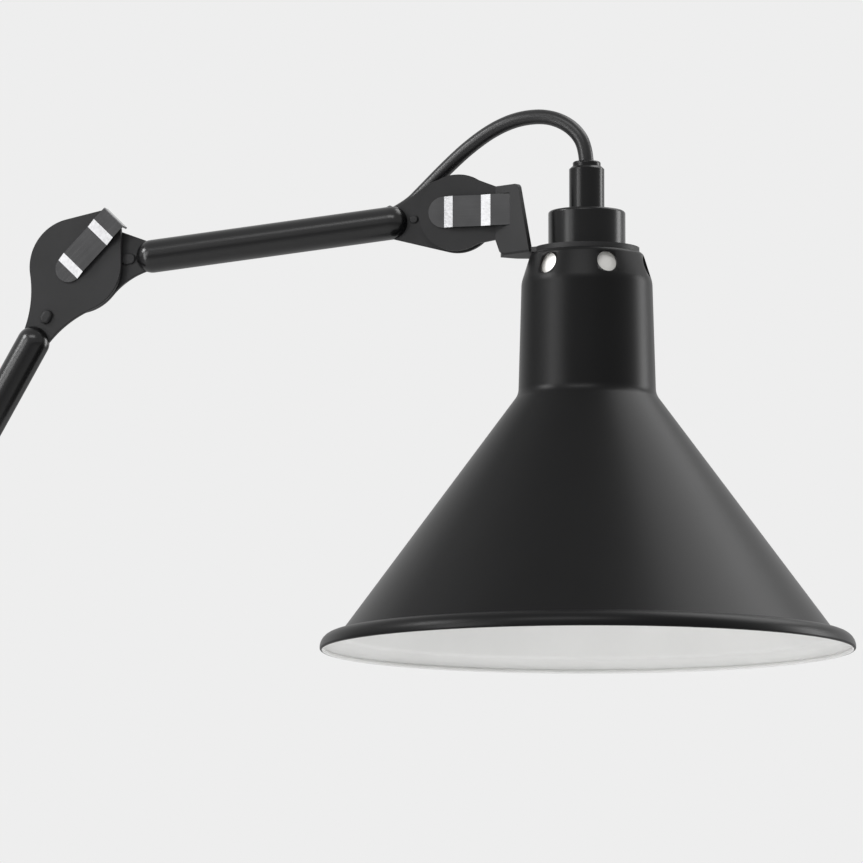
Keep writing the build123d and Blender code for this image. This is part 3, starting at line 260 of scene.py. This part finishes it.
def coated_surface_group():
    """Sprayed or moulded skin: soft mottling, a fine orange peel and a little settled dust."""
    group, start, end = node_group(
        "coated surface",
        [("Colour", (0.02, 0.02, 0.02, 1)), ("Dust colour", (0.2, 0.2, 0.2, 1)), ("Mottle", 0.3),
         ("Dust", 0.1), ("Roughness", 0.4), ("Grain per metre", 900.0)],
        [("Colour", "NodeSocketColor"), ("Roughness", "NodeSocketFloat"), ("Height", "NodeSocketFloat")])
    place = add_node(group, "ShaderNodeTexCoord").outputs["Object"]
    cloud = add_node(group, "ShaderNodeTexNoise", {"Vector": place, "Scale": 42.0, "Detail": 4.0})
    grain = add_node(group, "ShaderNodeTexNoise",
                     {"Vector": place, "Scale": start.outputs["Grain per metre"], "Detail": 2.0})
    speck = add_node(group, "ShaderNodeTexNoise", {"Vector": place, "Scale": 2600.0, "Detail": 1.0})
    dusty = add_node(group, "ShaderNodeMapRange",
                     {"Value": speck.outputs["Fac"], "From Min": 0.68, "From Max": 0.8, "To Max": 1.0})
    amount = add_node(group, "ShaderNodeMath", {0: dusty.outputs[0], 1: start.outputs["Dust"]},
                      operation="MULTIPLY")
    tone = add_node(group, "ShaderNodeMapRange",
                    {"Value": cloud.outputs["Fac"], "From Min": 0.3, "From Max": 0.7, "To Min": -0.5,
                     "To Max": 0.5})
    shift = add_node(group, "ShaderNodeMath", {0: tone.outputs[0], 1: start.outputs["Mottle"]},
                     operation="MULTIPLY")
    value = add_node(group, "ShaderNodeMath", {0: shift.outputs[0], 1: 1.0}, operation="ADD")
    toned = add_node(group, "ShaderNodeHueSaturation",
                     {"Color": start.outputs["Colour"], "Value": value.outputs[0]})
    mixed = add_node(group, "ShaderNodeMix",
                     {0: amount.outputs[0], 6: toned.outputs["Color"], 7: start.outputs["Dust colour"]},
                     data_type="RGBA")
    rough_shift = add_node(group, "ShaderNodeMath", {0: shift.outputs[0], 1: 0.12}, operation="MULTIPLY")
    rough = add_node(group, "ShaderNodeMath", {0: rough_shift.outputs[0], 1: start.outputs["Roughness"]},
                     operation="ADD")
    group.links.new(mixed.outputs[2], end.inputs["Colour"])
    group.links.new(rough.outputs[0], end.inputs["Roughness"])
    group.links.new(grain.outputs["Fac"], end.inputs["Height"])
    return group


def drawn_metal_group():
    """Bare rolled or turned metal: fine streaks along one way and a few soft stains."""
    group, start, end = node_group(
        "drawn metal",
        [("Colour", (0.6, 0.6, 0.6, 1)), ("Roughness", 0.25), ("Streak X", 60.0), ("Streak Y", 2500.0),
         ("Streak Z", 2500.0), ("Turn", 0.0)],
        [("Colour", "NodeSocketColor"), ("Roughness", "NodeSocketFloat"), ("Height", "NodeSocketFloat")])
    place = add_node(group, "ShaderNodeTexCoord").outputs["Object"]
    turned = add_node(group, "ShaderNodeVectorRotate", {"Vector": place, "Angle": start.outputs["Turn"]},
                      rotation_type="Y_AXIS")
    scale = add_node(group, "ShaderNodeCombineXYZ", {"X": start.outputs["Streak X"],
                                                     "Y": start.outputs["Streak Y"],
                                                     "Z": start.outputs["Streak Z"]})
    stretched = add_node(group, "ShaderNodeVectorMath",
                         {0: turned.outputs[0], 1: scale.outputs[0]}, operation="MULTIPLY")
    streak = add_node(group, "ShaderNodeTexNoise",
                      {"Vector": stretched.outputs[0], "Scale": 1.0, "Detail": 3.0})
    cloud = add_node(group, "ShaderNodeTexNoise", {"Vector": place, "Scale": 120.0, "Detail": 3.0})
    spread = add_node(group, "ShaderNodeMapRange",
                      {"Value": streak.outputs["Fac"], "From Min": 0.3, "From Max": 0.7, "To Min": -0.07,
                       "To Max": 0.07})
    rough = add_node(group, "ShaderNodeMath", {0: spread.outputs[0], 1: start.outputs["Roughness"]},
                     operation="ADD")
    value = add_node(group, "ShaderNodeMapRange",
                     {"Value": cloud.outputs["Fac"], "From Min": 0.3, "From Max": 0.7, "To Min": 0.88,
                      "To Max": 1.05})
    toned = add_node(group, "ShaderNodeHueSaturation",
                     {"Color": start.outputs["Colour"], "Value": value.outputs[0]})
    group.links.new(toned.outputs["Color"], end.inputs["Colour"])
    group.links.new(rough.outputs[0], end.inputs["Roughness"])
    group.links.new(streak.outputs["Fac"], end.inputs["Height"])
    return group


coated_surface = coated_surface_group()
drawn_metal = drawn_metal_group()


def finish_material(name, group, values, bump_height, shader_values):
    """Material of one effect group, a bump and a Principled shader with its own constants."""
    material = bpy.data.materials.new(name)
    material.use_nodes = True
    tree = material.node_tree
    tree.nodes.clear()
    effect = add_node(tree, "ShaderNodeGroup", node_tree=group)
    for key, value in values.items():
        effect.inputs[key].default_value = value
    bump = add_node(tree, "ShaderNodeBump",
                    {"Height": effect.outputs["Height"], "Strength": 1.0, "Distance": bump_height})
    shader = add_node(tree, "ShaderNodeBsdfPrincipled",
                      {"Base Color": effect.outputs["Colour"], "Roughness": effect.outputs["Roughness"],
                       "Normal": bump.outputs["Normal"], **shader_values})
    end = add_node(tree, "ShaderNodeOutputMaterial")
    tree.links.new(shader.outputs["BSDF"], end.inputs["Surface"])
    return material


def coated(name, colour, roughness, mottle=0.25, dust=0.05, grain=900.0, bump=0.00002, level=0.5):
    """Painted, plastic, rubber or glazed finish."""
    return finish_material(
        name, coated_surface,
        {"Colour": (*colour, 1), "Dust colour": (*[min(1, c * 1.5 + 0.1) for c in colour], 1),
         "Mottle": mottle, "Dust": dust, "Roughness": roughness, "Grain per metre": grain},
        bump, {"Specular IOR Level": level})


def bare_metal(name, colour, roughness, streaks, turn=0.0, bump=0.000004):
    """Bare metal finish, streaked most finely along the axes with the largest numbers."""
    return finish_material(
        name, drawn_metal,
        {"Colour": (*colour, 1), "Roughness": roughness, "Streak X": streaks[0], "Streak Y": streaks[1],
         "Streak Z": streaks[2], "Turn": turn},
        bump, {"Metallic": 1.0})


black_paint = coated("black powder coat", (0.015, 0.015, 0.0155), 0.5, mottle=0.3, dust=0.02,
                     grain=1400.0, bump=0.000012, level=0.2)
tube_paint = coated("black gloss coat", (0.004, 0.004, 0.0042), 0.24, mottle=0.2, dust=0.006,
                    grain=1800.0, bump=0.000006, level=0.35)
shade_paint = coated("black shade coat", (0.003, 0.003, 0.0032), 0.36, mottle=0.15, dust=0.004,
                     grain=1400.0, bump=0.000008, level=0.13)
white_paint = coated("white reflector paint", (0.7, 0.7, 0.69), 0.5, mottle=0.05, grain=1200.0)
black_gland = coated("black gland", (0.003, 0.003, 0.0032), 0.26, dust=0.006, grain=1800.0, bump=0.000008,
                     level=0.2)
cord_sheath = coated("black cord sheath", (0.006, 0.006, 0.0064), 0.36, dust=0.01, grain=2200.0,
                     bump=0.00001, level=0.35)
lead_sheath = coated("black lead sheath", (0.03, 0.03, 0.03), 0.5, grain=2200.0)
grommet_rubber = coated("black rubber", (0.022, 0.022, 0.022), 0.7, mottle=0.4, dust=0.12, grain=2600.0)
friction_fibre = coated("dark fibre", (0.06, 0.05, 0.045), 0.8, mottle=0.5, grain=3200.0, bump=0.00005)
black_nylon = coated("black nylon", (0.04, 0.04, 0.04), 0.55, grain=2000.0)
black_plastic = coated("black switch plastic", (0.022, 0.022, 0.024), 0.28, grain=3000.0, bump=0.00001)
white_plastic = coated("white terminal nylon", (0.82, 0.82, 0.79), 0.45, mottle=0.06, grain=2400.0)
porcelain = coated("white porcelain glaze", (0.85, 0.84, 0.81), 0.14, mottle=0.05, dust=0.02, grain=300.0)
# The clips' steel is darkened to a tenth of white: a painted dark reflection, standing in for the dim
# surroundings mirrored in their flats.
clip_painted_dark_reflection_colour = (0.1, 0.1, 0.102)
clip_streaks = (40.0, 2600.0, 2600.0)
clip_level = bare_metal("spring steel of level clips with painted dark reflection", clip_painted_dark_reflection_colour, 0.15, clip_streaks,
                        bump=0.0000008)
clip_tilted = bare_metal("spring steel of the elbow clip with painted dark reflection", clip_painted_dark_reflection_colour, 0.15, clip_streaks,
                         turn=elbow_clip_angle, bump=0.0000008)
zinc_steel = bare_metal("zinc plated steel", (0.56, 0.57, 0.59), 0.32, (900.0, 900.0, 900.0))
brass = bare_metal("brass", (0.78, 0.58, 0.28), 0.28, (700.0, 700.0, 700.0))

finish_of_slot = {
    "black_paint": black_paint, "black_gland": black_gland, "cord": cord_sheath,
    "lead_sheath": lead_sheath, "grommet_rubber": grommet_rubber, "friction_fibre": friction_fibre,
    "bush_nylon": black_nylon, "black_plastic": black_plastic, "white_plastic": white_plastic,
    "porcelain": porcelain, "spring_steel": clip_level, "zinc_steel": zinc_steel, "brass": brass,
}


def dress(obj, *materials):
    """Give an object its materials, in order."""
    obj.data.materials.clear()
    for material in materials:
        obj.data.materials.append(material)


for part in frame["record"]["subparts"]:
    node = frame["nodes"][part["node"]]
    material = finish_of_slot[part["material_slot"]]
    if not node.material_slots:
        node.data.materials.append(material)
    for slot in node.material_slots:
        slot.link = "OBJECT"
        slot.material = material
frame["nodes"]["elbow_clip"].material_slots[0].material = clip_tilted
for name in ("lower_arm_tube", "upper_arm_tube"):
    frame["nodes"][name].material_slots[0].material = tube_paint
frame["nodes"]["collar"].material_slots[0].material = black_gland
for cord in (head_cord, elbow_cord, base_cord):
    dress(cord, cord_sheath)


# Shade: one spun sheet, black outside and white inside, with six round vents in its neck

# Radius and height in millimetres: hole, shoulder, neck's top and foot, cone's foot, flange, rim
shade_outline = [(5.15, 0), (22.4, 0), (26.2, -12.0), (27.5, -57.0), (98.5, -152.8), (106.7, -152.8),
                 (106.7, -158.6)]
shade_rounding = [2.2, 11.0, 7.0, 1.2, 5.6]
bead_radius = 0.8
vent_count = 6
vent_radius = 4.15 * mm
vent_drop = 6.2 * mm
vent_first_angle = radians(32.5)
vent_plug_place = 26.0 * mm
shade_segments = 240
bead_steps = 18


def rounded_line(points, radii, steps=9):
    """Points of a line whose inner corners are rounded with the given radii."""
    line = [Vector(points[0])]
    for before, corner, after, radius in zip(points, points[1:], points[2:], radii):
        corner = Vector(corner)
        first = (Vector(before) - corner).normalized()
        second = (Vector(after) - corner).normalized()
        half = first.angle(second) / 2
        middle = corner + (first + second).normalized() * (radius / sin(half))
        start = corner + first * (radius / (sin(half) / cos(half)))
        end = corner + second * (radius / (sin(half) / cos(half)))
        for step in range(steps + 1):
            share = step / steps
            spoke = (start - middle).lerp(end - middle, share).normalized() * radius
            line.append(middle + spoke)
    line.append(Vector(points[-1]))
    return line


def spun_shade():
    """Outer and inner skins of the shade, joined by the bead at its rim and the hole at its top."""
    outer = rounded_line(shade_outline, shade_rounding)
    inner = []
    for index, point in enumerate(outer):
        before, after = outer[max(index - 1, 0)], outer[min(index + 1, len(outer) - 1)]
        way = (after - before).normalized()
        inner.append(point + Vector((way.y, -way.x)) * shade_wall / mm)
    inner[0] = Vector((outer[0].x, -shade_wall / mm))
    rim = Vector((shade_outline[-1][0] - bead_radius, shade_outline[-1][1]))
    closing = pi + acos((shade_wall / mm - bead_radius) / bead_radius)
    bead = []
    for step in range(1, bead_steps + 1):
        turn = -closing * step / bead_steps
        bead.append(rim + Vector((cos(turn), sin(turn))) * bead_radius)
    inner = [point for point in inner if point.y > bead[-1].y]
    profile = outer + bead + inner[::-1]
    lowest_of_bead = len(outer) - 1 + round(pi / 2 / closing * bead_steps)
    shape = bmesh.new()
    rings = []
    for point in profile:
        ring = []
        for step in range(shade_segments):
            turn = 2 * pi * step / shade_segments
            spot = Vector((point.x * mm * cos(turn), point.x * mm * sin(turn), point.y * mm))
            ring.append(shape.verts.new(shade_top + spot))
        rings.append(ring)
    for index, (ring, below) in enumerate(zip(rings, rings[1:] + rings[:1])):
        for step in range(shade_segments):
            after = (step + 1) % shade_segments
            face = shape.faces.new((ring[step], ring[after], below[after], below[step]))
            face.smooth = True
            face.material_index = 0 if index < lowest_of_bead or index == len(rings) - 1 else 1
    bmesh.ops.recalc_face_normals(shape, faces=shape.faces)
    mesh = bpy.data.meshes.new("shade_skin")
    mesh.materials.append(shade_paint)
    mesh.materials.append(white_paint)
    shape.to_mesh(mesh)
    shape.free()
    return mesh


def vent_cutter_tree():
    """Geometry nodes: round plugs on a ring, their axes pointing outwards."""
    tree = bpy.data.node_groups.new("vent plugs", "GeometryNodeTree")
    tree.interface.new_socket("Geometry", in_out="OUTPUT", socket_type="NodeSocketGeometry")
    for label, kind, default in (("Count", "NodeSocketInt", 6), ("Vent radius", "NodeSocketFloat", 0.004),
                                 ("Ring radius", "NodeSocketFloat", 0.02),
                                 ("First angle", "NodeSocketFloat", 0.0),
                                 ("Material", "NodeSocketMaterial", None)):
        socket = tree.interface.new_socket(label, in_out="INPUT", socket_type=kind)
        if default is not None:
            socket.default_value = default
    start = tree.nodes.new("NodeGroupInput")
    end = tree.nodes.new("NodeGroupOutput")
    ring = add_node(tree, "GeometryNodeMeshCircle",
                    {"Vertices": start.outputs["Count"], "Radius": start.outputs["Ring radius"]})
    plug = add_node(tree, "GeometryNodeMeshCylinder",
                    {"Vertices": 48, "Radius": start.outputs["Vent radius"], "Depth": 0.02})
    place = add_node(tree, "GeometryNodeInputPosition")
    aim = add_node(tree, "FunctionNodeAlignRotationToVector", {"Vector": place.outputs[0]}, axis="Z")
    spread = add_node(tree, "GeometryNodeInstanceOnPoints",
                      {"Points": ring.outputs["Mesh"], "Instance": plug.outputs["Mesh"],
                       "Rotation": aim.outputs[0]})
    solid = add_node(tree, "GeometryNodeRealizeInstances", {"Geometry": spread.outputs[0]})
    angle = add_node(tree, "ShaderNodeCombineXYZ", {"Z": start.outputs["First angle"]})
    turned = add_node(tree, "GeometryNodeTransform",
                      {"Geometry": solid.outputs[0], "Rotation": angle.outputs[0]})
    painted = add_node(tree, "GeometryNodeSetMaterial",
                       {"Geometry": turned.outputs[0], "Material": start.outputs["Material"]})
    tree.links.new(painted.outputs[0], end.inputs["Geometry"])
    return tree


def grown(name, tree, values):
    """Run a geometry tree with its named inputs set and return the mesh."""
    maker = bpy.data.objects.new(name, bpy.data.meshes.new(name))
    bpy.context.collection.objects.link(maker)
    modifier = maker.modifiers.new(name, "NODES")
    modifier.node_group = tree
    for item in tree.interface.items_tree:
        if item.item_type == "SOCKET" and item.in_out == "INPUT" and item.name in values:
            modifier[item.identifier] = values[item.name]
    return plain_mesh(maker)


def cut_vents(shade):
    """Cut the vents through the shade's neck."""
    plugs = grown("vent_plugs", vent_cutter_tree(),
                  {"Count": vent_count, "Vent radius": vent_radius, "Ring radius": vent_plug_place,
                   "First angle": vent_first_angle - pi / 2, "Material": shade_paint})
    for vertex in plugs.vertices:
        vertex.co += shade_top - Vector((0, 0, vent_drop))
    cutter = bpy.data.objects.new("vent_plugs", plugs)
    bpy.context.collection.objects.link(cutter)
    cut = shade.modifiers.new("vents", "BOOLEAN")
    cut.operation = "DIFFERENCE"
    cut.solver = "EXACT"
    cut.object = cutter
    bpy.context.view_layer.update()
    mesh = plain_mesh(shade)
    bpy.data.objects.remove(cutter)
    return mesh


def make_shade():
    """Spin, cut and place the shade on the head."""
    blank = bpy.data.objects.new("shade_blank", spun_shade())
    bpy.context.collection.objects.link(blank)
    shade = bpy.data.objects.new("shade_skin", cut_vents(blank))
    bpy.context.collection.objects.link(shade)
    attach(shade, "head")
    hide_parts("shade")


make_shade()


# Screw thread inside the lampholder's shell

screw_shell_radius = 13.3 * mm
thread_turns = 5.0
thread_ridge = 0.45 * mm
thread_margin = 2.0 * mm


def thread_tree():
    """Geometry nodes: a rounded ridge along a spiral."""
    tree = bpy.data.node_groups.new("screw thread", "GeometryNodeTree")
    tree.interface.new_socket("Geometry", in_out="OUTPUT", socket_type="NodeSocketGeometry")
    for label, kind, default in (("Turns", "NodeSocketFloat", 5.0), ("Radius", "NodeSocketFloat", 0.013),
                                 ("Length", "NodeSocketFloat", 0.018), ("Ridge", "NodeSocketFloat", 0.0007),
                                 ("Material", "NodeSocketMaterial", None)):
        socket = tree.interface.new_socket(label, in_out="INPUT", socket_type=kind)
        if default is not None:
            socket.default_value = default
    start = tree.nodes.new("NodeGroupInput")
    end = tree.nodes.new("NodeGroupOutput")
    spiral = add_node(tree, "GeometryNodeCurveSpiral",
                      {"Resolution": 48, "Rotations": start.outputs["Turns"],
                       "Start Radius": start.outputs["Radius"], "End Radius": start.outputs["Radius"],
                       "Height": start.outputs["Length"]})
    section = add_node(tree, "GeometryNodeCurvePrimitiveCircle",
                       {"Resolution": 10, "Radius": start.outputs["Ridge"]})
    ridge = add_node(tree, "GeometryNodeCurveToMesh",
                     {"Curve": spiral.outputs[0], "Profile Curve": section.outputs["Curve"],
                      "Fill Caps": True})
    solid = add_node(tree, "GeometryNodeRealizeInstances", {"Geometry": ridge.outputs[0]})
    painted = add_node(tree, "GeometryNodeSetMaterial",
                       {"Geometry": solid.outputs[0], "Material": start.outputs["Material"]})
    tree.links.new(painted.outputs[0], end.inputs["Geometry"])
    return tree


def make_thread():
    """Rolled thread of the lampholder's screw shell."""
    low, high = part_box("screw_shell")
    mesh = grown("screw_thread", thread_tree(),
                 {"Turns": thread_turns, "Radius": screw_shell_radius,
                  "Length": (high[2] - low[2]) - 2 * thread_margin,
                  "Ridge": thread_ridge, "Material": brass})
    centre = (Vector(low) + Vector(high)) / 2
    for vertex in mesh.vertices:
        vertex.co += Vector((centre.x, centre.y, low[2] + thread_margin))
    mesh.polygons.foreach_set("use_smooth", [True] * len(mesh.polygons))
    thread = bpy.data.objects.new("screw_thread", mesh)
    bpy.context.collection.objects.link(thread)
    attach(thread, "head")


make_thread()


# Floor, backdrop and light

floor_size = 30.0
floor_height = -0.62
world_light = 0.35
backdrop_level = 0.855
lamp_centre = Vector((0.3, 0, 0.15))
elbow_lamp_offset = Vector((-0.7, -0.45, 0.5))


def plain_floor():
    """Pale floor well below the lamp."""
    mesh = bpy.data.meshes.new("floor")
    corners = ((-1, -1), (1, -1), (1, 1), (-1, 1))
    mesh.from_pydata([(x * floor_size, y * floor_size, floor_height) for x, y in corners],
                     [], [(0, 1, 2, 3)])
    floor = bpy.data.objects.new("floor", mesh)
    bpy.context.collection.objects.link(floor)
    material = bpy.data.materials.new("pale floor")
    material.use_nodes = True
    shader = material.node_tree.nodes["Principled BSDF"]
    shader.inputs["Base Color"].default_value = (0.9, 0.9, 0.9, 1)
    shader.inputs["Roughness"].default_value = 0.9
    mesh.materials.append(material)


def pale_world():
    """Pale to the camera and in reflections, softer as a light."""
    world = bpy.data.worlds.new("world")
    world.use_nodes = True
    tree = world.node_tree
    tree.nodes.clear()
    path = add_node(tree, "ShaderNodeLightPath")
    seen = add_node(tree, "ShaderNodeMath",
                    {0: path.outputs["Is Camera Ray"], 1: path.outputs["Is Transmission Ray"]},
                    operation="MAXIMUM")
    shown = add_node(tree, "ShaderNodeMath",
                     {0: seen.outputs[0], 1: path.outputs["Is Glossy Ray"]}, operation="MAXIMUM")
    strength = add_node(tree, "ShaderNodeMapRange",
                        {"Value": shown.outputs[0], "To Min": world_light, "To Max": backdrop_level})
    sky = add_node(tree, "ShaderNodeBackground", {"Color": (1, 1, 1, 1), "Strength": strength.outputs[0]})
    end = add_node(tree, "ShaderNodeOutputWorld")
    tree.links.new(sky.outputs[0], end.inputs["Surface"])
    bpy.context.scene.world = world


def lamp(name, place, aim, width, height, power):
    """Soft light of the given width and height."""
    data = bpy.data.lights.new(name, "AREA")
    data.shape = "RECTANGLE"
    data.energy, data.size, data.size_y = power, width, height
    light = bpy.data.objects.new(name, data)
    light.location = place
    light.rotation_mode = "QUATERNION"
    light.rotation_quaternion = (aim - place).to_track_quat("-Z", "Y")
    bpy.context.collection.objects.link(light)


def around(azimuth, elevation, distance):
    """Place seen from the lamp's middle, its azimuth counted from -Y toward +X, in degrees."""
    turn, rise = radians(azimuth), radians(elevation)
    way = Vector((sin(turn) * cos(rise), -cos(turn) * cos(rise), sin(rise)))
    return lamp_centre + way * distance


plain_floor()
pale_world()
lamp("key", around(2, 40, 2.2), lamp_centre, width=1.5, height=0.5, power=15.0)
lamp("left strip", around(-46, -3, 1.6), lamp_centre, width=0.32, height=1.15, power=11.0)
lamp("collar strip", around(-33, 12, 2.2), lamp_centre, width=0.22, height=1.0, power=5.0)
lamp("right strip", around(122, 4, 1.6), lamp_centre, width=0.5, height=1.0, power=12.0)
lamp("upper right", around(126, 52, 2.0), lamp_centre, width=1.4, height=1.4, power=22.0)
lamp("elbow fill", elbow_pivot + elbow_lamp_offset, elbow_pivot, width=0.3, height=0.3, power=5.5)
bpy.context.scene.view_settings.view_transform = "Standard"
